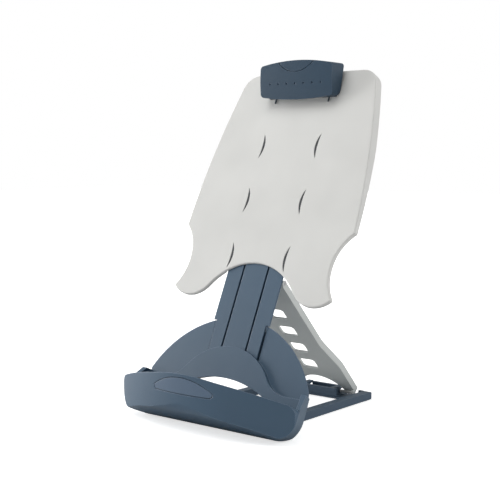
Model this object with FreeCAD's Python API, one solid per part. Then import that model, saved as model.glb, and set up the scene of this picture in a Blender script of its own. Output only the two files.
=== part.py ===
import FreeCAD, Part
import math
import os

from FreeCAD import Vector

# Desk copy holder: a sheet panel that slides on a mast, a base with a bowed ledge,
# a clip at the top, and a swing-out leg whose foot pins rest in a folding rear stay.
#
# Two local frames are used. The "plate" frame has x across, y up the leaning plate and
# z out of its front; z = 0 is the front of the sheet panel and y = 0 its line on the
# desk. The "desk" frame has the same x and foot line, y to the rear and z up.

# ---- overall layout
plateTilt = 65.0          # lean of the plate from the desk
lipReach = 42.4           # desk distance from the plate's foot line to the lip
stayReach = 200.9         # desk distance from the foot line to the stay's rear face
deskGap = 0.8             # rubber feet stand this far out

# ---- sheet panel
panelTop = 393.0
panelTopHalf = 84.2
panelCorner = 20.0
panelSideBow = 5.0
shoulderHeight = 211.5
notchHeight = 172.9
notchRadius = 50.8
notchWaist = 92.2
lobeHalf = 80.5
lobeBottom = 132.5
lobeTipRadius = 2.2
archCentre = 105.0
archRadius = 68.0
panelSkin = 2.2
panelWall = 2.0
lobeFlange = 3.8
sideFlange = 11.0
flangeSlopeStart = 195.0
flangeSlopeEnd = 305.0
flangeNotchHalf = 45.0
flangeNotchDepth = 8.0
panelTravel = 88.0
panelFillet = 1.8

# ---- curved slits of the sheet panel
slitHalf = 35.5
slitLength = 29.0
slitPitch = 63.0
slitTop = 305.5
slitBow = 4.4
slitWidth = 3.0
slitRows = 3
slitLinerGap = 0.1
slitLinerDrop = 0.3

# ---- mast and its cover
slideGap = 0.4
mastSkin = 2.2
mastDepth = 6.3
mastWall = 2.2
mastHalf = 36.0
mastNeckHalf = 32.0
mastChannelHalf = 29.0
mastFoot = 60.0
mastTop = 262.0
mastCorner = 8.0
mastCoverThickness = 2.2

# ---- panel guides in the mast
grooveHalf = 15.8
grooveWidth = 2.4
grooveFoot = 80.0
grooveTop = 241.0
ribWidth = 1.8
ribFoot = 178.0
ribTop = 238.0
capHalf = 4.2
capThickness = 2.0
capMargin = 2.0
padGap = 0.1
padThickness = 1.0
padWidth = 2.4

# ---- base disc
discRadius = 114.3
discBackRadius = 107.5
discCorner = 20.0
flankFront = 16.0
flankFrontHalf = 111.5
flankBackHalf = 100.0
flankBackCorner = 24.0
baseWall = 2.2
wingGap = 0.4
raisedFront = 0.8
raisedSkin = 3.0
nestGap = 2.0
mastSlot = 1.8
cheekWidth = 3.4
cheekFront = 5.0
cheekTop = 46.5
cheekFoot = 20.0
cheekReach = 15.0

# ---- arch opening, tray and lip
openTop = 50.4
openRadius = 125.0
openFlare = 3.2
floorHeight = 22.0
lipTop = 34.7
lipBump = 1.8
lipBumpHalf = 40.0
lipEndDrop = 3.4
lipEndRound = 7.0
lipThickness = 3.0
lipPlanRadius = 200.0
chinAngle = 31.5
chinRadius = 15.0
heelFront = -4.0

# ---- badge
badgeHalf = 37.3
badgeFoot = 41.0
badgeTop = 56.0
badgeSide = 3.0
badgeCorner = 3.5
badgeDepth = 1.2
badgeGroove = 0.9
badgeShoulder = 4.0
badgeShoulderRise = 3.4

# ---- back cover of the base
coverThickness = 2.0
coverGap = 0.2
coverScrewAngles = (55.0, 33.0)
coverScrewGrip = 1.8

# ---- clip
clipPivotDrop = 17.0
clipPivotOut = 8.0
clipPinRadius = 1.5
clipBoreGap = 0.08
clipHalf = 47.0
clipWall = 1.8
clipCorner = 4.0
clipFootMid = -18.4
clipFootEnd = -14.4
clipTopMid = 24.0
clipTopEnd = 18.5
clipFrontMid = 13.4
clipFrontEnd = 11.6
clipBow = 0.4
clipEdgeFlat = 0.6
clipRearFoot = -2.6
clipRearTop = -9.8
clipRearDrop = 5.0
clipRearOpen = 12.0
clipSheetGap = 0.9
thumbHalf = 25.0
thumbDrop = 13.0
thumbDepth = 0.7
thumbGroove = 0.9
thumbEdge = 2.0
dotCount = 7
dotPitch = 11.1
dotRadius = 1.1
dotDepth = 0.9
dotHeight = -1.0
earHalf = 26.5
earThickness = 2.5
earRadius = 4.0
earGap = 2.5
earCorner = 3.0
bracketCorner = 1.0
clipPinProud = 1.0
bracketDrop = 7.5
bracketRise = 11.0
bracketThickness = 1.5
clipPadHalf = 44.0
clipPadGap = 0.3
clipPadDrop = 14.2
clipPadHeight = 3.6
clipPadDepth = 2.4
prongHalf = 35.0
prongWidth = 1.2
prongDrop = 5.5
springWire = 0.55
springRadius = 3.0
springPitch = 1.4
springTurns = 8
springLeg = 9.0

# ---- leg
legPivotHeight = 158.0
legPivotGap = 3.9
legInset = 4.2
legHalf = 31.5
legFootHalf = 41.4
legFlareTop = 78.0
legFlareFoot = 43.0
legWeb = 2.4
legFlange = 7.2
legWall = 2.0
legBarrel = 3.5
legSlotLength = 15.3
legSlotWidth = 20.5
legSlotCorner = 4.2
legSlotPitch = 28.0
legSlotTop = 126.4
legSlotCount = 4
legArchTop = 21.3
legArchHalf = 29.0
legFootDrop = 2.0
legFlareInner = 20.0
legFlareOuter = 30.0
legPinRoom = 0.4
legPinRadius = 1.5
lugPlace = 20.0
lugThickness = 3.5
lugGap = 0.5
lugHalf = 5.0
lugRound = 4.5
bushLength = 4.0
bushWall = 1.0
boreGap = 0.08

# ---- foot pins and cradle
footPinRear = 7.0
footPinHeight = 6.0
footPinProud = 1.6
footPinRadius = 1.6
footPinInner = 17.5
footEarRadius = 2.9
cradleHalf = 28.0
cradleFront = 22.9
cradleWall = 3.0
cradleHeight = 11.4
cradleEarHalf = 24.0
cradleEarWidth = 6.0
cradlePlate = 0.9
cradleSlotGap = 0.4
cradleSlotRise = 8.0
cradleRearDrop = 0.6
cradleRearGap = 1.0

# ---- rear stay
stayHalf = 60.0
stayArm = 10.0
stayFront = 9.6
stayRear = 8.6
stayCorner = 1.5
stayLevel = 20.0
stayBend = 30.0
stayFloor = 1.8
stayFloorFront = 24.0
stayRearWall = 3.0
stayGateHalf = 44.5
stayGap = 0.6
hingeHeight = 16.2
hingeOut = 17.8
hingePinRadius = 1.75
knuckleRadius = 6.0
hingeLugRadius = 5.0
hingeLugWidth = 4.5
hingeLugGap = 0.5

# ---- fasteners and feet
screwRadius = 1.4
screwHeadRadius = 2.6
screwHeadHeight = 1.2
screwHeadGap = 0.05
screwSlotWidth = 0.7
screwSlotDepth = 0.6
screwEndGap = 0.6
pinFit = 0.01
bossRadius = 3.2
bossGap = 0.3
baseFootSize = (24.0, 10.0)
baseFootHalf = 62.0
baseFootInset = 1.5
stayFootSize = (8.0, 12.0)
stayFootInset = 2.0

# ---- places that follow from the sizes above
tiltSin = math.sin(math.radians(plateTilt))
tiltCos = math.cos(math.radians(plateTilt))
footLine = (lipReach - stayReach) / 2.0
lobeRise = lobeBottom - archCentre
lobeRadius = (lobeHalf ** 2 + lobeRise ** 2 - archRadius ** 2) / (2.0 * (archRadius - lobeRise))
lobeCentre = lobeBottom + lobeRadius
mastFront = -(panelSkin + slideGap)
mastNeckTop = math.sqrt(discRadius ** 2 - (mastNeckHalf + mastSlot) ** 2) + slideGap
mastBack = mastFront - mastDepth
mastScrewHalf = 0.65 * mastNeckHalf
mastRear = mastBack - mastCoverThickness
wingFront = -(lobeFlange + wingGap)
wingInner = wingFront - baseWall
raisedInner = raisedFront - raisedSkin
discBack = mastRear
coverFront = discBack + coverThickness
capFront = mastFront - mastSkin - padGap - padThickness
scoopRear = 1.1 * (lipTop + lipBump) - discBack / tiltSin
clipPivotHeight = panelTop - clipPivotDrop
bracketFoot = clipPivotHeight - bracketDrop
bracketTop = clipPivotHeight + bracketRise
clipPadFoot = clipPivotHeight - clipPadDrop
clipPadTop = clipPadFoot + clipPadHeight
far = 400.0


def point(x, y, z=0.0):
    return Vector(x, y, z)


def arcEdge(start, middle, end):
    return Part.Arc(point(*start), point(*middle), point(*end)).toShape()


def lineEdge(start, end):
    return Part.LineSegment(point(*start), point(*end)).toShape()


def edgeFace(edges):
    return Part.Face(Part.Wire(edges))


# The edges are the right half of an outline, from centre line to centre line.
def evenFace(edges):
    whole = edges + [mirrored(edge) for edge in edges]
    return Part.Face(Part.Wire(Part.__sortEdges__(whole)))


# A flat face in the XY plane; each corner is (x, y) or (x, y, rounding radius).
def cornerFace(corners):
    starts, ends, arcs = [], [], []
    count = len(corners)
    for index, corner in enumerate(corners):
        here = point(corner[0], corner[1])
        radius = corner[2] if len(corner) > 2 else 0.0
        if radius <= 0.0:
            starts.append(here)
            ends.append(here)
            arcs.append(None)
            continue
        before = point(*corners[index - 1][:2]) - here
        after = point(*corners[(index + 1) % count][:2]) - here
        before.normalize()
        after.normalize()
        half = before.getAngle(after) / 2.0
        inward = (before + after).normalize()
        centre = here + inward * (radius / math.sin(half))
        start = here + before * (radius / math.tan(half))
        end = here + after * (radius / math.tan(half))
        starts.append(start)
        ends.append(end)
        arcs.append(Part.Arc(start, centre - inward * radius, end).toShape())
    edges = []
    for index in range(count):
        if arcs[index]:
            edges.append(arcs[index])
        following = starts[(index + 1) % count]
        if ends[index].distanceToPoint(following) > 1e-6:
            edges.append(Part.LineSegment(ends[index], following).toShape())
    return edgeFace(edges)


# A face lifted into a solid between two heights.
def lift(flat, low, high):
    solid = flat.extrude(Vector(0, 0, high - low))
    solid.translate(Vector(0, 0, low))
    return solid


# As lift, with the upper edge rounded off in short straight steps.
def softLift(flat, low, high, radius, steps=4):
    solids = [lift(flat, low, high - radius)]
    lower = flat.OuterWire.copy()
    lower.translate(Vector(0, 0, high - radius))
    for step in range(1, steps + 1):
        angle = math.radians(90.0 * step / steps)
        upper = flat.makeOffset2D(-radius * (1.0 - math.cos(angle))).OuterWire.copy()
        upper.translate(Vector(0, 0, high - radius + radius * math.sin(angle)))
        solids.append(Part.makeLoft([lower, upper], True, True))
        lower = upper
    return joined(solids)


def prism(corners, low, high):
    return lift(cornerFace(corners), low, high)


# The corners are (y, z) and the solid runs along x.
def sidePrism(corners, left, right):
    solid = prism(corners, left, right)
    solid.rotate(Vector(0, 0, 0), Vector(1, 1, 1), 120)
    return solid


# The face holds (x, z) and the solid runs along y.
def standing(flat, front, rear):
    solid = lift(flat, -rear, -front)
    solid.rotate(Vector(0, 0, 0), Vector(1, 0, 0), 90)
    return solid


def box(x0, x1, y0, y1, z0, z1):
    return Part.makeBox(x1 - x0, y1 - y0, z1 - z0, Vector(x0, y0, z0))


def rodX(x0, x1, y, z, radius):
    return Part.makeCylinder(radius, x1 - x0, Vector(x0, y, z), Vector(1, 0, 0))


def rodZ(x, y, z0, z1, radius):
    return Part.makeCylinder(radius, z1 - z0, Vector(x, y, z0))


def joined(shapes):
    whole = shapes[0].fuse(shapes[1:]) if len(shapes) > 1 else shapes[0]
    return whole.removeSplitter()


def mirrored(shape):
    return shape.mirror(Vector(0, 0, 0), Vector(1, 0, 0))


def bothSides(shape):
    return [shape, mirrored(shape)]


# Plate frame to desk frame.
def lean(shape):
    turned = shape.copy()
    turned.rotate(Vector(0, 0, 0), Vector(1, 0, 0), plateTilt)
    return turned


def leanPoint(y, z):
    return (y * tiltCos - z * tiltSin, y * tiltSin + z * tiltCos)


def circleMeet(first, firstRadius, second, secondRadius):
    dx = second[0] - first[0]
    dy = second[1] - first[1]
    gap = math.hypot(dx, dy)
    along = (gap ** 2 + firstRadius ** 2 - secondRadius ** 2) / (2.0 * gap)
    off = math.sqrt(firstRadius ** 2 - along ** 2)
    x = first[0] + along * dx / gap
    y = first[1] + along * dy / gap
    return ((x + off * dy / gap, y - off * dx / gap), (x - off * dy / gap, y + off * dx / gap))


def toward(centre, target, radius):
    reach = math.hypot(target[0] - centre[0], target[1] - centre[1])
    share = radius / reach
    return (centre[0] + (target[0] - centre[0]) * share, centre[1] + (target[1] - centre[1]) * share)


# ---- sheet panel

def panelFace():
    arch = (0.0, archCentre)
    lobe = (lobeHalf, lobeCentre)
    notch = (notchWaist + notchRadius, notchHeight)
    swing = toward(arch, lobe, archRadius)
    tip = min(circleMeet(lobe, lobeRadius - lobeTipRadius, notch, notchRadius + lobeTipRadius),
              key=lambda spot: spot[1])
    tipLow = toward(lobe, tip, lobeRadius)
    tipHigh = toward(notch, tip, notchRadius)
    tipOut = toward(tip, (tip[0] + 1.0, tip[1] - 1.0), lobeTipRadius)
    rise = shoulderHeight - notchHeight
    shoulder = (notch[0] - math.sqrt(notchRadius ** 2 - rise ** 2), shoulderHeight)
    between = ((tipHigh[0] + shoulder[0]) / 2.0, (tipHigh[1] + shoulder[1]) / 2.0)
    waist = toward(notch, between, notchRadius)
    lobeLow = (lobeHalf, lobeBottom)
    archMid = toward(arch, (swing[0] / 2.0, archCentre + archRadius), archRadius)
    sideLength = math.hypot(panelTopHalf - shoulder[0], panelTop - shoulder[1])
    sideRadius = (sideLength ** 2 / 4.0 + panelSideBow ** 2) / (2.0 * panelSideBow)
    sideCentre = min(circleMeet(shoulder, sideRadius, (panelTopHalf, panelTop), sideRadius))
    level = panelTop - panelCorner
    aside = math.sqrt((sideRadius - panelCorner) ** 2 - (level - sideCentre[1]) ** 2)
    centre = (sideCentre[0] + aside, level)
    cornerTop = (centre[0], panelTop)
    cornerLow = toward(sideCentre, centre, sideRadius)
    cornerMid = toward(centre, (cornerLow[0], panelTop), panelCorner)
    halfway = ((shoulder[0] + cornerLow[0]) / 2.0, (shoulder[1] + cornerLow[1]) / 2.0)
    sideMid = toward(sideCentre, halfway, sideRadius)
    crown = (0.0, archCentre + archRadius)
    edges = [
        arcEdge(crown, archMid, swing),
        arcEdge(swing, lobeLow, tipLow),
        arcEdge(tipLow, tipOut, tipHigh),
        arcEdge(tipHigh, waist, shoulder),
        arcEdge(shoulder, sideMid, cornerLow),
        arcEdge(cornerLow, cornerMid, cornerTop),
        lineEdge(cornerTop, (0.0, panelTop)),
    ]
    return evenFace(edges)


# One lens-shaped slit, bowed towards the panel's middle.
def slitFace(row):
    middle = slitTop - row * slitPitch
    low = (slitHalf, middle - slitLength / 2.0)
    high = (slitHalf, middle + slitLength / 2.0)
    inner = (slitHalf - slitBow, middle)
    outer = (slitHalf - slitBow + slitWidth, middle)
    flat = edgeFace([arcEdge(low, inner, high), arcEdge(high, outer, low)])
    flat.translate(Vector(slitBow / 2.0, 0, 0))
    return flat


def slit(row):
    return lift(slitFace(row), -far, far)


# Dark lens-shaped fillings pressed into the slits, sunk a little below the sheet face.
def slitLiners():
    liners = []
    for row in range(slitRows):
        flat = slitFace(row).makeOffset2D(-slitLinerGap)
        liners += bothSides(lift(flat, -panelSkin, -slitLinerDrop))
    return Part.makeCompound(liners)


def clipScrewPlaces():
    middle = (bracketFoot + bracketTop) / 2.0 - clipPinRadius * 3.0
    return [(-grooveHalf, middle), (grooveHalf, middle)]


def copyPanel():
    flat = panelFace()
    panel = softLift(flat, -sideFlange, 0.0, panelFillet)
    panel = panel.cut(lift(flat.makeOffset2D(-panelWall), -far, -panelSkin))
    shallow = sidePrism([(0.0, -lobeFlange), (flangeSlopeStart, -lobeFlange),
                         (flangeSlopeEnd, -sideFlange), (flangeSlopeEnd, -far), (0.0, -far)], -far, far)
    aside = mastHalf + panelWall
    corridor = box(-aside, aside, 0.0, mastTop + panelTravel, -far, -panelSkin)
    legRoom = box(-flangeNotchHalf, flangeNotchHalf, 0.0, far, -far, -flangeNotchDepth)
    panel = panel.cut([shallow, corridor, legRoom])
    extras = bothSides(box(grooveHalf - ribWidth / 2.0, grooveHalf + ribWidth / 2.0,
                           ribFoot, ribTop, capFront, -panelSkin))
    for x, y in clipScrewPlaces():
        extras.append(rodZ(x, y, -lobeFlange, -panelSkin, bossRadius))
    panel = joined([panel] + extras)
    cuts = []
    for row in range(slitRows):
        cuts += bothSides(slit(row))
    for x, y in clipScrewPlaces():
        cuts.append(rodZ(x, y, -lobeFlange, far, screwRadius))
    return panel.cut(cuts)


def glideCaps():
    near = grooveHalf - capHalf
    away = grooveHalf + capHalf
    low = ribFoot - capMargin
    high = ribTop + capMargin
    cap = prism([(near, low, capMargin), (away, low, capMargin), (away, high, capMargin),
                 (near, high, capMargin)], capFront - capThickness, capFront)
    return Part.makeCompound(bothSides(cap))


def frictionPads():
    near = grooveHalf - ribWidth / 2.0 - padWidth - slideGap / 2.0
    away = grooveHalf + ribWidth / 2.0 + slideGap / 2.0
    pads = []
    for x in (near, away):
        pads += bothSides(box(x, x + padWidth, ribFoot + capMargin, ribTop - capMargin,
                              capFront, capFront + padThickness))
    return Part.makeCompound(pads)


# ---- mast

# The front plate, narrower where it stands in the base.
def mastPlate():
    wide = mastHalf
    neck = mastNeckHalf
    return [(-neck, mastFoot), (neck, mastFoot), (neck, mastNeckTop), (wide, mastNeckTop),
            (wide, mastTop, mastCorner), (-wide, mastTop, mastCorner), (-wide, mastNeckTop),
            (-neck, mastNeckTop)]


# The box-shaped channel behind the front plate.
def mastChannel(inset):
    wide = mastChannelHalf - inset
    high = mastTop - (mastHalf - mastChannelHalf) / 2.0 - inset
    corner = mastCorner - inset
    return [(-wide, mastFoot + inset), (wide, mastFoot + inset), (wide, high, corner), (-wide, high, corner)]


def mastBaseScrews():
    height = (mastFoot + grooveFoot) / 2.0
    return [(-mastScrewHalf, height), (mastScrewHalf, height)]


def mastCoverScrews():
    x = mastChannelHalf - mastWall - 0.8 * bossRadius
    low = mastNeckTop + 4.0 * bossRadius
    high = mastTop - 3.0 * bossRadius
    return [(side * x, y) for y in (low, high) for side in (-1, 1)]


def mast():
    body = joined([prism(mastPlate(), mastFront - mastSkin, mastFront),
                   prism(mastChannel(0.0), mastBack, mastFront - mastSkin)])
    body = body.cut(prism(mastChannel(mastWall), mastBack, mastFront - mastSkin))
    bosses = [rodZ(x, y, mastBack, mastFront - mastSkin, bossRadius) for x, y in mastCoverScrews()]
    body = joined([body] + bosses)
    cuts = [rodZ(x, y, mastBack, mastFront - mastSkin, screwRadius) for x, y in mastCoverScrews()]
    cuts += [rodZ(x, y, mastBack, mastFront, bossRadius + bossGap) for x, y in mastBaseScrews()]
    groove = box(grooveHalf - grooveWidth / 2.0, grooveHalf + grooveWidth / 2.0,
                 grooveFoot, grooveTop, mastBack, mastFront)
    return body.cut(cuts + bothSides(groove))


def legPivot():
    return (legPivotHeight, mastRear - legPivotGap)


def mastCover():
    height, out = legPivot()
    away = lugPlace + lugThickness
    lug = box(lugPlace, away, height - lugHalf, height + lugHalf, out, mastRear)
    tongue = rodX(lugPlace, away, height, out, lugRound)
    plate = joined([prism(mastChannel(0.0), mastRear, mastBack)] + bothSides(joined([lug, tongue])))
    cuts = [rodX(-mastHalf, mastHalf, height, out, legPinRadius + pinFit)]
    for x, y in mastCoverScrews() + mastBaseScrews():
        cuts.append(rodZ(x, y, mastRear, mastBack, screwRadius + pinFit))
        cuts.append(rodZ(x, y, mastRear, mastRear + screwHeadHeight, screwHeadRadius + screwHeadGap))
    return plate.cut(cuts)


# A countersunk screw driven from the rear, head flush with the face it enters.
def rearScrew(x, y, face, depth):
    head = rodZ(x, y, face, face + screwHeadHeight, screwHeadRadius)
    shank = rodZ(x, y, face, face + depth, screwRadius - 2.0 * pinFit)
    half = screwSlotWidth / 2.0
    slot = box(x - screwHeadRadius, x + screwHeadRadius, y - half, y + half, face, face + screwSlotDepth)
    return head.fuse(shank).cut(slot)


def mastScrews():
    depth = mastCoverThickness + mastDepth - mastSkin - screwEndGap
    places = mastCoverScrews() + mastBaseScrews()
    return Part.makeCompound([rearScrew(x, y, mastRear, depth) for x, y in places])


def legPivotPin():
    height, out = legPivot()
    return rodX(-legHalf, legHalf, height, out, legPinRadius)


# ---- base

# One level of the frame that rounds the base's lower corners and draws in its flanks.
def flankWire(half, corner, inset, height):
    edge = half - inset
    turn = corner - inset
    flat = cornerFace([(-edge, inset, turn), (edge, inset, turn), (edge, far), (-edge, far)])
    flat.translate(Vector(0, 0, height))
    return flat


def flankFrame(inset):
    wide = flankWire(flankFrontHalf, discCorner, inset, flankFront)
    narrow = flankWire(flankBackHalf, flankBackCorner, inset, discBack)
    taper = Part.makeLoft([narrow.OuterWire, wide.OuterWire], True, True)
    ahead = wide.extrude(Vector(0, 0, 2.0 * lipReach))
    behind = narrow.extrude(Vector(0, 0, -far))
    return joined([behind, taper, ahead])


def discSolid(inset, back, front):
    slope = (discRadius - discBackRadius) / (wingFront - discBack)
    radius = discRadius - inset
    turn = min(front, wingFront)
    disc = Part.makeCone(radius - slope * (wingFront - back), radius - slope * (wingFront - turn),
                         turn - back, Vector(0, 0, back))
    if front > turn:
        disc = joined([disc, rodZ(0.0, 0.0, turn, front, radius)])
    return disc.common(flankFrame(inset))


# The raised centre follows the lower edge of the panel when that is right down.
def raisedSolid(inset, low, high):
    gap = nestGap + inset
    arch = (0.0, archCentre - panelTravel)
    lobe = (lobeHalf, lobeCentre - panelTravel)
    level = lobeBottom - panelTravel - gap
    swing = toward(arch, lobe, archRadius - gap)
    archMid = toward(arch, (swing[0] / 2.0, arch[1] + archRadius), archRadius - gap)
    lobeLow = (lobeHalf, level)
    away = toward(lobe, ((swing[0] + lobeLow[0]) / 2.0, (swing[1] + lobeLow[1]) / 2.0), lobeRadius + gap)
    crown = (0.0, arch[1] + archRadius - gap)
    edge = discRadius + 10.0
    edges = [
        arcEdge(crown, archMid, swing),
        arcEdge(swing, away, lobeLow),
        lineEdge(lobeLow, (edge, level)),
        lineEdge((edge, level), (edge, -discCorner)),
        lineEdge((edge, -discCorner), (0.0, -discCorner)),
    ]
    return lift(evenFace(edges), low, high)


# The cheeks wall off the flanks and fill what lies outside the disc's circle; their tops
# slope down to the lip's ends.
def cheeks():
    side = [(cheekFoot, discBack), (cheekTop, discBack), (cheekTop, cheekFront),
            (lipTop - lipEndDrop, cheekReach), (cheekFoot, cheekReach)]
    block = sidePrism(side, -far, far).common(flankFrame(0.0))
    inside = rodZ(0.0, 0.0, -far, far, discRadius - cheekWidth).common(flankFrame(cheekWidth))
    return block.cut(inside)


# The arch opening flares a little towards the rear.
def openingSolid(grow):
    slope = openFlare / (raisedFront - discBack)
    low = discBack - 1.0
    high = raisedFront + 1.0
    radius = openRadius + grow
    cone = Part.makeCone(radius + slope * (raisedFront - low), radius - slope * (high - raisedFront),
                         high - low, Vector(0, openTop - openRadius, low))
    return cone.common(box(-far, far, floorHeight - grow, far, low, high))


def scoopSide(inset, rear):
    slope = math.tan(math.radians(chinAngle))
    stretch = 1.0 / math.cos(math.radians(chinAngle))
    low = deskGap + inset
    heel = heelFront + inset * (stretch - 1.0) / slope
    front = -lipReach + inset
    chin = deskGap + (heelFront - front) * slope + inset * stretch
    high = 2.0 * lipReach
    return [(rear, low), (rear, high), (front, high), (front, chin, chinRadius - inset), (heel, low)]


def planRound(inset):
    return rodZ(0.0, lipPlanRadius - lipReach, -far, far, lipPlanRadius - inset)


def scoopSolid(inset, top, rear):
    body = sidePrism(scoopSide(inset, rear), -discRadius, discRadius)
    body = body.common(planRound(inset))
    below = box(-far, far, -far, top, discBack - far, 2.0 * lipReach)
    return body.common(lean(flankFrame(inset))).common(lean(below))


# Everything above the lip's top edge, which rises at the middle and drops to rounded ends.
def aboveLip():
    high = lipTop - lipEndDrop
    low = high - lipEndRound
    turn = flankFrontHalf - lipEndRound
    diagonal = lipEndRound * math.sqrt(0.5)
    edges = [
        arcEdge((0.0, lipTop + lipBump), lipBumpMiddle(), (lipBumpHalf, lipTop)),
        lineEdge((lipBumpHalf, lipTop), (turn, high)),
        arcEdge((turn, high), (turn + diagonal, low + diagonal), (flankFrontHalf, low)),
        lineEdge((flankFrontHalf, low), (far, low)),
        lineEdge((far, low), (far, far)),
        lineEdge((far, far), (0.0, far)),
    ]
    return lift(evenFace(edges), raisedFront, far)


def lipBumpMiddle():
    radius = (lipBumpHalf ** 2 + lipBump ** 2) / (2.0 * lipBump)
    centre = (0.0, lipTop + lipBump - radius)
    return toward(centre, (lipBumpHalf / 2.0, lipTop + lipBump), radius)


def badgeFace(grow):
    half = badgeHalf + grow
    low = badgeFoot - grow
    side = badgeFoot + badgeSide
    apex = badgeTop + grow
    shoulder = side + badgeShoulderRise
    turn = half - badgeShoulder
    bend = half - 0.3 * badgeShoulder
    bendHeight = side + badgeShoulderRise / 2.0
    corner = badgeCorner + grow
    centre = (half - corner, low + corner)
    diagonal = corner * math.sqrt(0.5)
    edges = [
        lineEdge((-centre[0], low), (centre[0], low)),
        arcEdge((centre[0], low), (centre[0] + diagonal, centre[1] - diagonal), (half, centre[1])),
        arcEdge((half, centre[1]), (bend, bendHeight), (turn, shoulder)),
        arcEdge((turn, shoulder), (0.0, apex), (-turn, shoulder)),
        arcEdge((-turn, shoulder), (-bend, bendHeight), (-half, centre[1])),
        arcEdge((-half, centre[1]), (-centre[0] - diagonal, centre[1] - diagonal), (-centre[0], low)),
    ]
    return edgeFace(edges)


def badgeBody(grow, depth):
    column = standing(badgeFace(grow), -far, 0.0)
    return column.common(planRound(0.0)).cut(planRound(depth))


def coverScrews():
    radius = min(discRadius, discBackRadius) - 4.0 * bossRadius
    low = floorHeight + 2.0 * bossRadius
    archHalf = math.sqrt((openRadius + openFlare) ** 2 - (openRadius - openTop + low) ** 2)
    places = [(archHalf + baseWall + coverGap + screwHeadRadius + bossRadius, low)]
    for angle in coverScrewAngles:
        turn = math.radians(angle)
        places.append((radius * math.cos(turn), radius * math.sin(turn)))
    return [(sign * x, y) for x, y in places for sign in (-1, 1)]


def deskBelow():
    return box(-far, far, -far, far, -far, deskGap)


def baseShell():
    disc = discSolid(0.0, discBack, wingFront)
    raised = discSolid(0.0, discBack, raisedFront).common(raisedSolid(0.0, discBack, raisedFront))
    scoop = scoopSolid(0.0, lipTop + lipBump, scoopRear)
    behind = lean(box(-far, far, -far, far, discBack - far, discBack))
    scoop = scoop.cut([behind, lean(aboveLip())])
    sides = lean(cheeks()).common(planRound(0.0))
    shell = joined([lean(disc), lean(raised), sides, scoop])

    pocket = box(-far, far, floorHeight, far, raisedFront, 2.0 * lipReach)
    pocket = lean(pocket.common(flankFrame(lipThickness))).common(planRound(lipThickness)).cut(sides)
    hollowDisc = discSolid(baseWall, discBack - discCorner, wingInner)
    hollowRaised = discSolid(baseWall, discBack - discCorner, raisedInner).common(
        raisedSolid(baseWall, discBack - far, raisedInner))
    hollowScoop = scoopSolid(baseWall, floorHeight - baseWall, scoopRear)
    hollow = joined([lean(hollowDisc), lean(hollowRaised), hollowScoop])
    hollow = hollow.cut(lean(openingSolid(baseWall)))
    aside = mastNeckHalf + mastSlot
    inside = mastChannelHalf + slideGap
    mastRoom = joined([box(-aside, aside, mastFoot - slideGap, far, coverFront, raisedInner),
                       box(-inside, inside, mastFoot - slideGap, far, discBack - far, coverFront)])
    opening = openingSolid(0.0)
    shell = shell.cut([pocket, hollow, lean(mastRoom), lean(opening), deskBelow(),
                       badgeBody(badgeGroove, badgeDepth)])

    bosses = [rodZ(x, y, mastBack, raisedInner, bossRadius) for x, y in mastBaseScrews()]
    for x, y in coverScrews():
        top = raisedInner if y < lobeBottom - panelTravel - nestGap else wingInner
        bosses.append(rodZ(x, y, coverFront, top, bossRadius))
    shell = joined([shell] + [lean(boss) for boss in bosses])
    holes = [rodZ(x, y, mastBack, raisedInner, screwRadius) for x, y in mastBaseScrews()]
    holes += [rodZ(x, y, coverFront, wingInner, screwRadius) for x, y in coverScrews()]
    return shell.cut([lean(hole) for hole in holes])


def stayHinge():
    return (hingeHeight, -hingeOut)


def hingeLugs():
    height, out = stayHinge()
    inner = stayHalf - stayArm - hingeLugGap
    outer = stayHalf + hingeLugGap
    lugs = []
    for left in (inner - hingeLugWidth, outer):
        web = box(left, left + hingeLugWidth, height - hingeLugRadius, height + hingeLugRadius, out, discBack)
        lugs.append(web.fuse(rodX(left, left + hingeLugWidth, height, out, hingeLugRadius)))
    return lugs


def backCover():
    plate = discSolid(baseWall + coverGap, discBack, coverFront)
    aside = mastChannelHalf + coverGap
    plate = plate.cut([openingSolid(baseWall + coverGap),
                       box(-aside, aside, mastFoot - slideGap, far, discBack - 1.0, coverFront + 1.0)])
    lugs = []
    for lug in hingeLugs():
        lugs += bothSides(lug)
    cover = joined([plate] + lugs)
    height, out = stayHinge()
    cuts = [rodX(-far, far, height, out, hingePinRadius + pinFit)]
    for x, y in coverScrews():
        cuts.append(rodZ(x, y, discBack, coverFront, screwRadius + pinFit))
        cuts.append(rodZ(x, y, discBack, discBack + screwHeadHeight, screwHeadRadius + screwHeadGap))
    return lean(cover.cut(cuts)).cut(deskBelow())


def coverScrewSet():
    depth = coverThickness + coverScrewGrip
    return Part.makeCompound([rearScrew(x, y, discBack, depth) for x, y in coverScrews()])


def baseFeet():
    width, depth = baseFootSize
    rear = -discBack / tiltSin - baseFootInset
    pad = box(baseFootHalf - width / 2.0, baseFootHalf + width / 2.0, rear - depth, rear, 0.0, deskGap)
    return Part.makeCompound(bothSides(pad))


# ---- clip; its own frame has y up and z forward, with the pivot at the centre

def placeClip(shape):
    turned = shape.copy()
    turned.rotate(Vector(0, 0, 0), Vector(1, 0, 0), 90.0)
    y, z = leanPoint(clipPivotHeight, clipPivotOut)
    turned.translate(Vector(0, y, z))
    return turned


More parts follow.
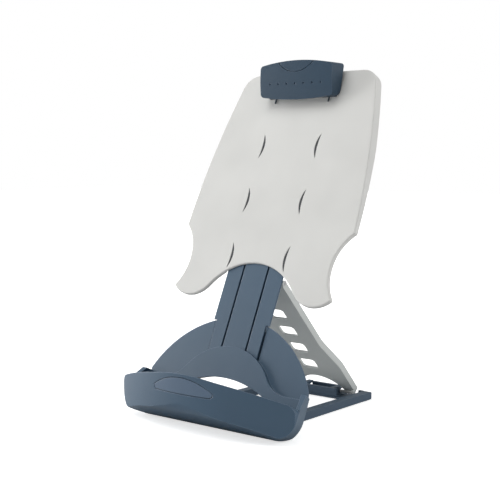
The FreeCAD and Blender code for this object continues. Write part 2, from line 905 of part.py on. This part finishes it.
def clipBody(inset, rear):
    front = clipFrontMid - inset
    end = clipFrontEnd - inset
    foot = clipFootMid + inset
    top = clipTopMid - inset
    rearTop = top - clipRearDrop
    rearFoot = foot + clipRearDrop
    section = [
        lineEdge((rearFoot, clipRearFoot - rear), (foot, end - inset)),
        arcEdge((foot, end - inset), ((foot + top) / 2.0, front), (top, end - inset)),
        lineEdge((top, end - inset), (rearTop, clipRearTop - rear)),
        lineEdge((rearTop, clipRearTop - rear), (rearFoot, clipRearFoot - rear)),
    ]
    bowRadius = (clipHalf ** 2 + clipBow ** 2) / (2.0 * clipBow)
    sweep = math.degrees(math.asin((clipHalf - inset) / bowRadius)) + 1.0
    axis = Vector(0, 0, clipFrontMid - bowRadius)
    profile = edgeFace(section)
    profile.rotate(Vector(0, 0, 0), Vector(1, 1, 1), 120)
    profile.rotate(axis, Vector(0, 1, 0), -sweep)
    body = profile.revolve(axis, Vector(0, 1, 0), 2.0 * sweep)
    half = clipHalf - inset
    face = edgeFace([
        arcEdge((-half, clipTopEnd - inset), (0.0, top - clipEdgeFlat), (half, clipTopEnd - inset)),
        lineEdge((half, clipTopEnd - inset), (half, clipFootEnd + inset)),
        arcEdge((half, clipFootEnd + inset), (0.0, foot + clipEdgeFlat), (-half, clipFootEnd + inset)),
        lineEdge((-half, clipFootEnd + inset), (-half, clipTopEnd - inset)),
    ])
    frame = lift(face, -far, far)
    upright = [edge for edge in frame.Edges if edge.BoundBox.ZLength > far]
    frame = frame.makeFillet(clipCorner - inset, upright)
    return body.common(frame)


def clipCover():
    shell = clipBody(0.0, 0.0)
    shell = shell.cut(clipBody(clipWall, clipRearOpen))
    ribInner = earHalf + earGap
    rib = sidePrism([(-earRadius, -earRadius, earCorner), (earRadius, -earRadius, earCorner),
                     (earRadius, far), (-earRadius, far)], ribInner, ribInner + earThickness)
    shell = joined([shell] + bothSides(rib.common(clipBody(0.0, 0.0))))
    thumbRadius = (thumbHalf ** 2 + thumbDrop ** 2) / (2.0 * thumbDrop)
    thumbCentre = clipTopMid - thumbDrop + thumbRadius
    thumb = rodZ(0.0, thumbCentre, -far, far, thumbRadius)
    thumb = thumb.cut(rodZ(0.0, thumbCentre, -far, far, thumbRadius - thumbGroove))
    thumb = thumb.cut(clipBody(thumbDepth, clipRearOpen))
    thumb = thumb.common(box(-thumbHalf, thumbHalf, 0.0, clipTopMid - thumbEdge, 0.0, far))
    bore = rodX(-clipHalf + 2.0 * clipWall, clipHalf - 2.0 * clipWall, 0.0, 0.0, clipPinRadius + clipBoreGap)
    cuts = [thumb, bore]
    for index in range(dotCount):
        x = (index - (dotCount - 1) / 2.0) * dotPitch
        bow = clipBow * (x / clipHalf) ** 2
        cuts.append(rodZ(x, dotHeight, clipFrontMid - bow - dotDepth, far, dotRadius))
    shell = placeClip(shell.cut(cuts))
    panelSide = lean(box(-far, far, 0.0, far, -far, clipSheetGap))
    padRoom = lean(box(-clipPadHalf, clipPadHalf, clipPadFoot, clipPadTop, -far, clipPadGap + clipPadDepth))
    return shell.cut([panelSide, padRoom])


def clipPad():
    front = clipPadGap + clipPadDepth
    strip = box(-clipPadHalf, clipPadHalf, clipPadFoot, clipPadTop, clipPadGap, front)
    prong = box(prongHalf - prongWidth / 2.0, prongHalf + prongWidth / 2.0, clipPadFoot - prongDrop,
                clipPadFoot, clipPadGap, clipPadGap + clipPadDepth / 2.0)
    return joined([strip] + bothSides(prong))


def clipBracket():
    plate = prism([(-earHalf, bracketFoot, bracketCorner), (earHalf, bracketFoot, bracketCorner),
                   (earHalf, bracketTop, bracketCorner), (-earHalf, bracketTop, bracketCorner)],
                  0.0, bracketThickness)
    ear = box(earHalf - earThickness, earHalf, clipPivotHeight - earRadius, clipPivotHeight + earRadius,
              0.0, clipPivotOut)
    ear = ear.fuse(rodX(earHalf - earThickness, earHalf, clipPivotHeight, clipPivotOut, earRadius))
    bracket = joined([plate] + bothSides(ear))
    cuts = [rodX(-earHalf, earHalf, clipPivotHeight, clipPivotOut, clipPinRadius + pinFit)]
    cuts += [rodZ(x, y, 0.0, bracketThickness, screwRadius + pinFit) for x, y in clipScrewPlaces()]
    return bracket.cut(cuts)


def clipPin():
    reach = earHalf + earGap + earThickness + clipPinProud
    return rodX(-reach, reach, clipPivotHeight, clipPivotOut, clipPinRadius)


def clipSpring():
    length = springPitch * springTurns
    helix = Part.makeHelix(springPitch, length, springRadius)
    section = Part.Wire(Part.makeCircle(springWire, Vector(springRadius, 0, 0), Vector(0, 1, 0)))
    coil = Part.Wire(helix.Edges).makePipeShell([section], True, True)
    lower = Part.makeCylinder(springWire, springLeg, Vector(springRadius, 0, 0), Vector(0, -1, 0))
    upper = Part.makeCylinder(springWire, springLeg, Vector(springRadius, 0, length), Vector(0, 1, 0))
    spring = coil.fuse([lower, upper])
    spring.translate(Vector(0, 0, -length / 2.0))
    spring.rotate(Vector(0, 0, 0), Vector(0, 1, 0), 90)
    spring.translate(Vector(0, clipPivotHeight, clipPivotOut))
    return spring


def clipScrews():
    screws = []
    for x, y in clipScrewPlaces():
        head = rodZ(x, y, bracketThickness, bracketThickness + screwHeadHeight, screwHeadRadius)
        shank = rodZ(x, y, screwEndGap - lobeFlange, bracketThickness, screwRadius - 2.0 * pinFit)
        screws.append(head.fuse(shank))
    return Part.makeCompound(screws)


# ---- leg; its own frame has y from the foot pins up to the pivot and z out of its front

def footPinPlace():
    return (stayReach - footPinRear, footPinHeight)


def legLength():
    pivot = leanPoint(*legPivot())
    pin = footPinPlace()
    span = math.hypot(pivot[0] - pin[0], pivot[1] - pin[1])
    return math.sqrt(span ** 2 - (legInset + footPinProud) ** 2)


def placeLeg(shape):
    pivot = leanPoint(*legPivot())
    pin = footPinPlace()
    rise = math.atan2(pivot[1] - pin[1], pivot[0] - pin[0])
    turn = rise + math.atan2(legInset + footPinProud, legLength())
    turned = shape.copy()
    turned.translate(Vector(0, 0, -footPinProud))
    turned.rotate(Vector(0, 0, 0), Vector(1, 0, 0), math.degrees(turn))
    turned.translate(Vector(0, pin[0], pin[1]))
    return turned


def legOutline(inset):
    wide = legHalf - inset
    foot = legFootHalf - inset
    top = legLength()
    return [(-foot, -legFootDrop), (foot, -legFootDrop), (foot, legFlareFoot, legFlareInner),
            (wide, legFlareTop, legFlareOuter), (wide, top), (-wide, top),
            (-wide, legFlareTop, legFlareOuter), (-foot, legFlareFoot, legFlareInner)]


def legBody():
    body = prism(legOutline(0.0), -legFlange, 0.0)
    inner = legOutline(legWall)
    inner[0] = (inner[0][0], -2.0 * legFlange)
    inner[1] = (inner[1][0], -2.0 * legFlange)
    body = body.cut(prism(inner, -far, -legWeb))
    top = legLength()
    barrel = rodX(-legHalf, legHalf, top, -legInset, legBarrel)
    ear = rodX(legFootHalf - legWall, legFootHalf, 0.0, footPinProud, footEarRadius)
    ear = ear.fuse(box(legFootHalf - legWall, legFootHalf, -legFootDrop, footEarRadius, -legWall,
                       footPinProud))
    body = joined([body, barrel] + bothSides(ear))
    cuts = []
    half = legSlotWidth / 2.0
    for index in range(legSlotCount):
        middle = legSlotTop - index * legSlotPitch
        low = middle - legSlotLength / 2.0
        high = middle + legSlotLength / 2.0
        cuts.append(prism([(-half, low, legSlotCorner), (half, low, legSlotCorner),
                           (half, high, legSlotCorner), (-half, high, legSlotCorner)], -far, far))
    below = -1.5 * legFootDrop
    arch = edgeFace([
        arcEdge((-legArchHalf, below), (0.0, legArchTop), (legArchHalf, below)),
        lineEdge((legArchHalf, below), (-legArchHalf, below)),
    ])
    cuts.append(lift(arch, -far, far))
    bush = legPinRadius + boreGap + bushWall
    cuts.append(rodX(-legHalf, legHalf, top, -legInset, legPinRadius + legPinRoom))
    cuts += bothSides(rodX(legHalf - bushLength, legHalf, top, -legInset, bush))
    notch = math.hypot(lugHalf, legPivotGap) + lugGap
    cuts += bothSides(rodX(lugPlace - lugGap, lugPlace + lugThickness + lugGap, top, -legInset, notch))
    return body.cut(cuts)


def pivotBushes():
    top = legLength()
    outer = rodX(legHalf - bushLength, legHalf, top, -legInset, legPinRadius + boreGap + bushWall)
    bush = outer.cut(rodX(-legHalf, legHalf, top, -legInset, legPinRadius + boreGap))
    return Part.makeCompound(bothSides(bush))


def footPins():
    pin = rodX(footPinInner, legFootHalf - legWall, 0.0, footPinProud, footPinRadius)
    return Part.makeCompound(bothSides(pin))


# ---- rear stay, in the desk frame

def stayFrame():
    hinge = leanPoint(*stayHinge())
    inner = stayHalf - stayArm
    armLow = stayGap
    profile = [(hinge[0], armLow), (stayReach, armLow, stayCorner), (stayReach, stayRear, stayCorner),
               (stayReach - stayLevel, stayRear, stayBend), (hinge[0], stayFront)]
    arm = sidePrism(profile, inner, stayHalf)
    knuckle = rodX(inner, stayHalf, hinge[0], hinge[1], knuckleRadius)
    arms = bothSides(joined([arm, knuckle]))
    floor = box(-inner, inner, stayReach - stayFloorFront, stayReach, armLow, armLow + stayFloor)
    wall = box(stayGateHalf, inner, stayReach - stayRearWall, stayReach, armLow, stayRear)
    frame = joined(arms + [floor] + bothSides(wall))
    bore = rodX(-far, far, hinge[0], hinge[1], hingePinRadius + boreGap)
    cuts = [bore]
    for x, y in cradleScrewPlaces():
        cuts.append(rodZ(x, y, armLow, armLow + stayFloor, screwRadius + pinFit))
        cuts.append(rodZ(x, y, armLow, armLow + screwHeadHeight, screwHeadRadius + screwHeadGap))
    return frame.cut(cuts)


def cradleScrewPlaces():
    y = stayReach - cradleFront + cradleWall + bossRadius * 0.7
    return [(-cradleHalf / 3.0, y), (cradleHalf / 3.0, y)]


# Two ears with open slots take the foot pins; the slots open to the rear, clear of the
# rear wall that stands between the pins' inner ends.
def footCradle():
    base = stayGap + stayFloor
    front = stayReach - cradleFront
    wall = box(-cradleHalf, cradleHalf, front, front + cradleWall, base, cradleHeight)
    back = stayReach - cradleRearGap
    plate = box(-cradleHalf, cradleHalf, front, back, base, base + cradlePlate)
    ear = box(cradleEarHalf - cradleEarWidth, cradleEarHalf, front, back, base, cradleHeight)
    aside = cradleEarHalf - cradleEarWidth
    rear = box(-aside, aside, back - cradleWall, back, base, cradleHeight - cradleRearDrop)
    bosses = [rodZ(x, y, base, base + bossRadius, bossRadius) for x, y in cradleScrewPlaces()]
    cradle = joined([wall, plate, rear] + bothSides(ear) + bosses)
    pinY, pinZ = footPinPlace()
    reach = footPinRadius + cradleSlotGap
    rise = math.radians(cradleSlotRise)
    end = 2.0 * footPinRear
    top = pinZ + reach + end * math.tan(rise) + cradleWall
    inner = footPinInner - cradleSlotGap
    slot = rodX(inner, far, pinY, pinZ, reach)
    channel = sidePrism([(pinY, pinZ - reach), (pinY + end, pinZ - reach), (pinY + end, top),
                         (pinY, pinZ + reach)], inner, far)
    cuts = bothSides(slot.fuse(channel))
    hole = base + bossRadius - screwEndGap
    cuts += [rodZ(x, y, base, hole, screwRadius) for x, y in cradleScrewPlaces()]
    return cradle.cut(cuts)


def cradleScrews():
    depth = stayFloor + bossRadius - 1.5 * screwEndGap
    return Part.makeCompound([rearScrew(x, y, stayGap, depth) for x, y in cradleScrewPlaces()])


def hingePins():
    hinge = leanPoint(*stayHinge())
    inner = stayHalf - stayArm - hingeLugGap - hingeLugWidth
    outer = stayHalf + hingeLugGap + hingeLugWidth
    return Part.makeCompound(bothSides(rodX(inner, outer, hinge[0], hinge[1], hingePinRadius)))


def stayFeet():
    width, depth = stayFootSize
    x = stayHalf - stayArm / 2.0
    rear = stayReach - stayFootInset
    pad = box(x - width / 2.0, x + width / 2.0, rear - depth, rear, 0.0, stayGap)
    return Part.makeCompound(bothSides(pad))


def parts():
    return {
        "base_shell": baseShell(),
        "badge_insert": badgeBody(0.0, badgeDepth),
        "base_back_cover": backCover(),
        "base_cover_screws": lean(coverScrewSet()),
        "base_feet": baseFeet(),
        "mast": lean(mast()),
        "mast_cover": lean(mastCover()),
        "mast_screws": lean(mastScrews()),
        "leg_pivot_pin": lean(legPivotPin()),
        "copy_panel": lean(copyPanel()),
        "glide_caps": lean(glideCaps()),
        "friction_pads": lean(frictionPads()),
        "slit_liners": lean(slitLiners()),
        "clip_bracket": lean(clipBracket()),
        "clip_pin": lean(clipPin()),
        "clip_spring": lean(clipSpring()),
        "clip_screws": lean(clipScrews()),
        "clip_cover": clipCover(),
        "clip_pad": lean(clipPad()),
        "leg": placeLeg(legBody()).cut(box(-far, far, stayReach, far, -far, far)),
        "leg_pivot_bushes": placeLeg(pivotBushes()),
        "leg_foot_pins": placeLeg(footPins()),
        "stay_frame": stayFrame(),
        "foot_cradle": footCradle(),
        "cradle_screws": cradleScrews(),
        "stay_hinge_pins": hingePins(),
        "stay_feet": stayFeet(),
    }


os.makedirs("parts", exist_ok=True)
for name, shape in parts().items():
    placed = shape.copy()
    placed.translate(Vector(0, footLine, 0))
    placed.exportStep("parts/" + name + ".step")
    print(name, "solids", len(placed.Solids), "valid", placed.isValid(), "volume", round(placed.Volume))
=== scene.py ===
import math

import bpy
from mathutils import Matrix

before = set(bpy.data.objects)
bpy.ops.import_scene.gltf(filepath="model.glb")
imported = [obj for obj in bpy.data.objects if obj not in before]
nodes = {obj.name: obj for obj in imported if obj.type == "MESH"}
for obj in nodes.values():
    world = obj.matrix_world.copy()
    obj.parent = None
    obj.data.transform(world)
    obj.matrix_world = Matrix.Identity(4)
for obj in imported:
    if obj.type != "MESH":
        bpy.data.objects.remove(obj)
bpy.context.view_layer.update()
print("frame loaded:", len(nodes), "nodes")


# colours are written as they look on a screen, in hex
def colour(code):
    parts = [int(code[i:i + 2], 16) / 255 for i in (0, 2, 4)]
    made = [p / 12.92 if p <= 0.04045 else ((p + 0.055) / 1.055) ** 2.4 for p in parts]
    return (*made, 1.0)


def link(tree, source, target):
    tree.links.new(source, target)


def addNode(tree, kind, place, **values):
    node = tree.nodes.new(kind)
    node.location = place
    for name, value in values.items():
        setattr(node, name, value)
    return node


def mathNode(tree, operation, place, first, second=None, clamp=False):
    node = addNode(tree, "ShaderNodeMath", place, operation=operation, use_clamp=clamp)
    for socket, value in zip(node.inputs, (first, second)):
        if value is None:
            continue
        if isinstance(value, (int, float)):
            socket.default_value = value
        else:
            link(tree, value, socket)
    return node.outputs[0]


def newGroup(name, inputs, outputs):
    tree = bpy.data.node_groups.new(name, "ShaderNodeTree")
    for label, kind, value in inputs:
        socket = tree.interface.new_socket(label, in_out="INPUT", socket_type=kind)
        if value is not None:
            socket.default_value = value
    for label, kind in outputs:
        tree.interface.new_socket(label, in_out="OUTPUT", socket_type=kind)
    entry = addNode(tree, "NodeGroupInput", (-900, 0))
    leave = addNode(tree, "NodeGroupOutput", (700, 0))
    return tree, entry, leave


# fine spark-eroded grain of a moulded surface: a height, and a slight mottle
grainSettings = dict(scale=900.0, mottle=14.0, fineDetail=3.0, fineRoughness=0.65, broadDetail=2.0)


def buildGrain(settings):
    tree, entry, leave = newGroup(
        "mouldedGrain",
        [("Vector", "NodeSocketVector", None),
         ("Scale", "NodeSocketFloat", settings["scale"]),
         ("Mottle", "NodeSocketFloat", settings["mottle"])],
        [("Height", "NodeSocketFloat"), ("Mottle", "NodeSocketFloat")])
    fine = addNode(tree, "ShaderNodeTexNoise", (-600, 150))
    fine.inputs["Detail"].default_value = settings["fineDetail"]
    fine.inputs["Roughness"].default_value = settings["fineRoughness"]
    pits = addNode(tree, "ShaderNodeTexVoronoi", (-600, -150), feature="SMOOTH_F1")
    broad = addNode(tree, "ShaderNodeTexNoise", (-600, -450))
    broad.inputs["Detail"].default_value = settings["broadDetail"]
    for texture, socket in ((fine, "Scale"), (pits, "Scale"), (broad, "Mottle")):
        link(tree, entry.outputs["Vector"], texture.inputs["Vector"])
        link(tree, entry.outputs[socket], texture.inputs["Scale"])
    height = mathNode(tree, "ADD", (-300, 0), fine.outputs["Fac"], pits.outputs["Distance"])
    height = mathNode(tree, "MULTIPLY", (-100, 0), height, 0.5)
    link(tree, height, leave.inputs["Height"])
    link(tree, broad.outputs["Fac"], leave.inputs["Mottle"])
    return tree


# edges catch the light: a rounded normal, and a mask of the edges where a paler colour is painted on as
# a highlight
edgeSettings = dict(radius=0.0006, strength=4.0, samples=4)


def buildEdge(settings):
    tree, entry, leave = newGroup(
        "edgeHighlight",
        [("Radius", "NodeSocketFloat", settings["radius"]),
         ("Strength", "NodeSocketFloat", settings["strength"])],
        [("Normal", "NodeSocketVector"), ("Mask", "NodeSocketFloat")])
    bevel = addNode(tree, "ShaderNodeBevel", (-600, 100), samples=settings["samples"])
    link(tree, entry.outputs["Radius"], bevel.inputs["Radius"])
    geometry = addNode(tree, "ShaderNodeNewGeometry", (-600, -150))
    dot = addNode(tree, "ShaderNodeVectorMath", (-350, 0), operation="DOT_PRODUCT")
    link(tree, bevel.outputs["Normal"], dot.inputs[0])
    link(tree, geometry.outputs["Normal"], dot.inputs[1])
    away = mathNode(tree, "SUBTRACT", (-100, 0), 1.0, dot.outputs["Value"], clamp=True)
    mask = mathNode(tree, "MULTIPLY", (100, 0), away, entry.outputs["Strength"], clamp=True)
    link(tree, bevel.outputs["Normal"], leave.inputs["Normal"])
    link(tree, mask, leave.inputs["Mask"])
    return tree


# faint dust that settles on what faces up
dustSettings = dict(amount=0.1, scale=55.0, detail=4.0, tone=colour("C9C7C2"))


def buildDust(settings):
    tree, entry, leave = newGroup(
        "settledDust",
        [("Vector", "NodeSocketVector", None), ("Amount", "NodeSocketFloat", settings["amount"])],
        [("Mask", "NodeSocketFloat")])
    geometry = addNode(tree, "ShaderNodeNewGeometry", (-700, 200))
    split = addNode(tree, "ShaderNodeSeparateXYZ", (-500, 200))
    link(tree, geometry.outputs["Normal"], split.inputs[0])
    noise = addNode(tree, "ShaderNodeTexNoise", (-700, -100))
    noise.inputs["Scale"].default_value = settings["scale"]
    noise.inputs["Detail"].default_value = settings["detail"]
    link(tree, entry.outputs["Vector"], noise.inputs["Vector"])
    up = mathNode(tree, "MAXIMUM", (-300, 200), split.outputs["Z"], 0.0)
    mask = mathNode(tree, "MULTIPLY", (-100, 100), up, noise.outputs["Fac"])
    mask = mathNode(tree, "MULTIPLY", (100, 0), mask, entry.outputs["Amount"], clamp=True)
    link(tree, mask, leave.inputs["Mask"])
    return tree


grainGroup = buildGrain(grainSettings)
edgeGroup = buildEdge(edgeSettings)
dustGroup = buildDust(dustSettings)
print("shared effects made")


def groupNode(tree, group, place, **values):
    node = addNode(tree, "ShaderNodeGroup", place, node_tree=group)
    for name, value in values.items():
        node.inputs[name].default_value = value
    return node


def mixColour(tree, place, factor, first, second):
    node = addNode(tree, "ShaderNodeMix", place, data_type="RGBA", blend_type="MIX")
    link(tree, factor, node.inputs["Factor"])
    for socket, value in ((node.inputs["A"], first), (node.inputs["B"], second)):
        if isinstance(value, tuple):
            socket.default_value = value
        else:
            link(tree, value, socket)
    return node.outputs["Result"]


def mapRange(tree, place, value, low, high, outLow, outHigh):
    node = addNode(tree, "ShaderNodeMapRange", place)
    link(tree, value, node.inputs["Value"])
    for name, number in (("From Min", low), ("From Max", high), ("To Min", outLow), ("To Max", outHigh)):
        node.inputs[name].default_value = number
    return node.outputs["Result"]


# the mottle darkens a colour to this share of itself, and the grain spreads its roughness
plasticSettings = dict(mottleShade=0.94, mottleLow=0.35, mottleHigh=0.65, grainLow=0.2, grainHigh=0.8,
                       roughSpread=0.06, bump=0.35)


def mouldedPlastic(name, base, pale, rough, grain, depth, dust, specular=0.5,
                   edgeRadius=edgeSettings["radius"], settings=plasticSettings):
    material = bpy.data.materials.new(name)
    material.use_nodes = True
    tree = material.node_tree
    shader = tree.nodes["Principled BSDF"]
    shader.inputs["Specular IOR Level"].default_value = specular
    place = addNode(tree, "ShaderNodeTexCoord", (-1300, 0))
    surface = groupNode(tree, grainGroup, (-1000, 200), Scale=grain)
    edge = groupNode(tree, edgeGroup, (-1000, -150), Radius=edgeRadius)
    settled = groupNode(tree, dustGroup, (-1000, -400), Amount=dust)
    link(tree, place.outputs["Object"], surface.inputs["Vector"])
    link(tree, place.outputs["Object"], settled.inputs["Vector"])
    mottle = mapRange(tree, (-700, 350), surface.outputs["Mottle"],
                      settings["mottleLow"], settings["mottleHigh"], 0.0, 1.0)
    shade = tuple(c * settings["mottleShade"] for c in base[:3]) + (1.0,)
    tint = mixColour(tree, (-450, 350), mottle, shade, base)
    # painted highlight: the pale colour is laid on the edges through the edge mask
    highlighted = mixColour(tree, (-200, 300), edge.outputs["Mask"], tint, pale)
    dusty = mixColour(tree, (0, 250), settled.outputs["Mask"], highlighted, dustSettings["tone"])
    link(tree, dusty, shader.inputs["Base Color"])
    spread = settings["roughSpread"]
    roughness = mapRange(tree, (-450, 0), surface.outputs["Height"],
                         settings["grainLow"], settings["grainHigh"], rough - spread, rough + spread)
    link(tree, roughness, shader.inputs["Roughness"])
    bump = addNode(tree, "ShaderNodeBump", (-450, -300))
    bump.inputs["Strength"].default_value = settings["bump"]
    bump.inputs["Distance"].default_value = depth
    link(tree, surface.outputs["Height"], bump.inputs["Height"])
    link(tree, edge.outputs["Normal"], bump.inputs["Normal"])
    link(tree, bump.outputs["Normal"], shader.inputs["Normal"])
    return material


# drawn wire and pressed sheet, brushed along one way
steelSettings = dict(scale=220.0, detail=5.0, edgeRadius=0.0003, shade=0.8, noiseLow=0.3, noiseHigh=0.7,
                     smoother=0.08, rougher=0.1, bump=0.2, depth=0.00005)


def platedSteel(name, base, rough, brush, settings=steelSettings):
    material = bpy.data.materials.new(name)
    material.use_nodes = True
    tree = material.node_tree
    shader = tree.nodes["Principled BSDF"]
    shader.inputs["Metallic"].default_value = 1.0
    place = addNode(tree, "ShaderNodeTexCoord", (-1100, 0))
    stretch = addNode(tree, "ShaderNodeMapping", (-900, 0))
    stretch.inputs["Scale"].default_value = brush
    link(tree, place.outputs["Object"], stretch.inputs["Vector"])
    noise = addNode(tree, "ShaderNodeTexNoise", (-700, 0))
    noise.inputs["Scale"].default_value = settings["scale"]
    noise.inputs["Detail"].default_value = settings["detail"]
    link(tree, stretch.outputs["Vector"], noise.inputs["Vector"])
    edge = groupNode(tree, edgeGroup, (-700, -300), Radius=settings["edgeRadius"])
    dark = tuple(c * settings["shade"] for c in base[:3]) + (1.0,)
    tint = mixColour(tree, (-400, 200), noise.outputs["Fac"], dark, base)
    link(tree, tint, shader.inputs["Base Color"])
    roughness = mapRange(tree, (-400, 0), noise.outputs["Fac"],
                         settings["noiseLow"], settings["noiseHigh"],
                         rough - settings["smoother"], rough + settings["rougher"])
    link(tree, roughness, shader.inputs["Roughness"])
    bump = addNode(tree, "ShaderNodeBump", (-300, -300))
    bump.inputs["Strength"].default_value = settings["bump"]
    bump.inputs["Distance"].default_value = settings["depth"]
    link(tree, noise.outputs["Fac"], bump.inputs["Height"])
    link(tree, edge.outputs["Normal"], bump.inputs["Normal"])
    link(tree, bump.outputs["Normal"], shader.inputs["Normal"])
    return material


# base colour, the paler colour painted on edges as a highlight, roughness, grain scale and grain depth
# in metres
finishes = {
    "slatePlastic": dict(base=colour("3B556B"), pale=colour("7A8CA3"), rough=0.44, grain=1500.0,
                         depth=0.00006, dust=0.05, edgeRadius=0.0009),
    "clipPlastic": dict(base=colour("1F3B50"), pale=colour("5C748C"), rough=0.38, grain=1700.0,
                        depth=0.00005, dust=0.03),
    "panelPlastic": dict(base=colour("D5D5D2"), pale=colour("EAEAE7"), rough=0.58, grain=1300.0,
                         depth=0.00005, dust=0.0),
    "legPlastic": dict(base=colour("CACECC"), pale=colour("E4E6E4"), rough=0.55, grain=1300.0,
                       depth=0.00006, dust=0.02),
    "lightPlastic": dict(base=colour("C4C5C4"), pale=colour("D0D0CF"), rough=0.4, grain=1500.0,
                         depth=0.00003, dust=0.0),
    "stayPlastic": dict(base=colour("405467"), pale=colour("64788D"), rough=0.5, grain=1400.0,
                        depth=0.00006, dust=0.04),
    "badgePlastic": dict(base=colour("52667C"), pale=colour("74879B"), rough=0.34, grain=2200.0,
                         depth=0.00002, dust=0.0),
    "linerPlastic": dict(base=colour("3C3F42"), pale=colour("4A4D50"), rough=0.6, grain=1500.0,
                         depth=0.00004, dust=0.0),
    "jawRubber": dict(base=colour("49535D"), pale=colour("66717B"), rough=0.75, grain=1100.0,
                      depth=0.00006, dust=0.02, specular=0.35),
    "rubber": dict(base=colour("26292C"), pale=colour("3A3D40"), rough=0.85, grain=900.0,
                   depth=0.0001, dust=0.12, specular=0.3),
}
# the brush stretches the pattern most along its smallest number
metals = {
    "platedSteel": dict(base=colour("B9BBBE"), rough=0.32, brush=(1.0, 8.0, 8.0)),
    "springSteel": dict(base=colour("A9ABAF"), rough=0.25, brush=(6.0, 1.0, 1.0)),
}
materials = {name: mouldedPlastic(name, **values) for name, values in finishes.items()}
materials.update({name: platedSteel(name, **values) for name, values in metals.items()})
print("materials made:", len(materials))

# every node not named here is plated steel
nodeFinish = {
    "base_shell": "slatePlastic",
    "badge_insert": "badgePlastic",
    "base_back_cover": "slatePlastic",
    "mast": "slatePlastic",
    "mast_cover": "slatePlastic",
    "copy_panel": "panelPlastic",
    "glide_caps": "panelPlastic",
    "friction_pads": "rubber",
    "slit_liners": "linerPlastic",
    "clip_cover": "clipPlastic",
    "clip_pad": "jawRubber",
    "leg": "legPlastic",
    "leg_pivot_bushes": "lightPlastic",
    "leg_foot_pins": "lightPlastic",
    "stay_frame": "stayPlastic",
    "foot_cradle": "stayPlastic",
    "base_feet": "rubber",
    "stay_feet": "rubber",
    "clip_spring": "springSteel",
}


def dress(node, material):
    slots = node.data.materials
    slots.clear()
    slots.append(material)


for name, node in nodes.items():
    dress(node, materials[nodeFinish.get(name, "platedSteel")])
print("nodes dressed:", len(nodes))


# camera and floor: places in metres, angles in degrees, lens in millimetres
stageSizes = {
    "cameraPlace": (0.67396, -0.84357, 0.2655),
    "cameraTurn": 39.16,
    "cameraDip": 5.061,
    "lens": 75.73,
    "sensor": 36.0,
    "clipStart": 0.05,
    "clipEnd": 50.0,
    "floorHalf": 6.0,
    "floorRoughness": 0.9,
    "floorSeen": "F4F4F3",
    "floorBounce": "E6E6E6",
    "floorGlow": 0.64,
    "whiteFrom": 0.42,
    "whiteAt": 0.75,
}


def makeCamera(sizes):
    data = bpy.data.cameras.new("camera")
    data.lens = sizes["lens"]
    data.sensor_width = sizes["sensor"]
    data.clip_start = sizes["clipStart"]
    data.clip_end = sizes["clipEnd"]
    camera = bpy.data.objects.new("camera", data)
    camera.location = sizes["cameraPlace"]
    tilt = math.radians(90.0 - sizes["cameraDip"])
    camera.rotation_euler = (tilt, 0.0, math.radians(sizes["cameraTurn"]))
    bpy.context.collection.objects.link(camera)
    bpy.context.scene.camera = camera


# pale near the object, where shadows fall, and pure white further off
def floorMaterial(sizes):
    material = bpy.data.materials.new("paleFloor")
    material.use_nodes = True
    tree = material.node_tree
    shader = tree.nodes["Principled BSDF"]
    shader.inputs["Roughness"].default_value = sizes["floorRoughness"]
    shader.inputs["Specular IOR Level"].default_value = 0.0
    shader.inputs["Emission Color"].default_value = (1.0, 1.0, 1.0, 1.0)
    rays = addNode(tree, "ShaderNodeLightPath", (-500, 0))
    seen = rays.outputs["Is Camera Ray"]
    tint = mixColour(tree, (-150, 250), seen, colour(sizes["floorBounce"]), colour(sizes["floorSeen"]))
    link(tree, tint, shader.inputs["Base Color"])
    place = addNode(tree, "ShaderNodeTexCoord", (-900, -250))
    reach = addNode(tree, "ShaderNodeVectorMath", (-700, -250), operation="LENGTH")
    link(tree, place.outputs["Object"], reach.inputs[0])
    glow = mapRange(tree, (-500, -250), reach.outputs["Value"], sizes["whiteFrom"], sizes["whiteAt"],
                    sizes["floorGlow"], 1.0)
    strength = mathNode(tree, "MULTIPLY", (-150, 0), seen, glow)
    link(tree, strength, shader.inputs["Emission Strength"])
    return material


def makeFloor(sizes):
    half = sizes["floorHalf"]
    bpy.ops.mesh.primitive_plane_add(size=2.0 * half)
    floor = bpy.context.object
    floor.name = "floor"
    floor.data.materials.append(floorMaterial(sizes))


# places in metres, power in watts
lamps = {
    "overheadSoftbox": dict(place=(-0.35, -0.8, 1.9), aim=(0.0, 0.0, 0.12), size=1.6, power=16.5),
    "leftSoftbox": dict(place=(-2.0, -0.65, 0.42), aim=(0.0, 0.0, 0.1), size=1.2, power=33.0),
    "rightFill": dict(place=(1.7, 0.9, 0.8), aim=(0.0, 0.0, 0.15), size=1.2, power=14.0),
}


def makeLamp(name, place, aim, size, power):
    data = bpy.data.lights.new(name, "AREA")
    data.shape = "SQUARE"
    data.size = size
    data.energy = power
    lamp = bpy.data.objects.new(name, data)
    lamp.location = place
    away = [a - b for a, b in zip(place, aim)]
    flat = math.hypot(away[0], away[1])
    lamp.rotation_euler = (math.atan2(flat, away[2]), 0.0, math.atan2(away[0], -away[1]))
    bpy.context.collection.objects.link(lamp)


# even light from all round; the background is pure white to the camera
worldLight = dict(fill=0.45, seen=1.0)


def makeWorld(settings):
    world = bpy.data.worlds.new("studio")
    bpy.context.scene.world = world
    world.use_nodes = True
    tree = world.node_tree
    background = tree.nodes["Background"]
    rays = addNode(tree, "ShaderNodeLightPath", (-500, 0))
    seen = rays.outputs["Is Camera Ray"]
    background.inputs["Color"].default_value = (1.0, 1.0, 1.0, 1.0)
    strength = addNode(tree, "ShaderNodeMix", (-150, 0), data_type="FLOAT")
    link(tree, seen, strength.inputs["Factor"])
    strength.inputs["A"].default_value = settings["fill"]
    strength.inputs["B"].default_value = settings["seen"]
    link(tree, strength.outputs["Result"], background.inputs["Strength"])


makeCamera(stageSizes)
makeFloor(stageSizes)
for name, values in lamps.items():
    makeLamp(name, **values)
makeWorld(worldLight)
bpy.context.scene.view_settings.view_transform = "Standard"
print("camera, floor and lamps made")
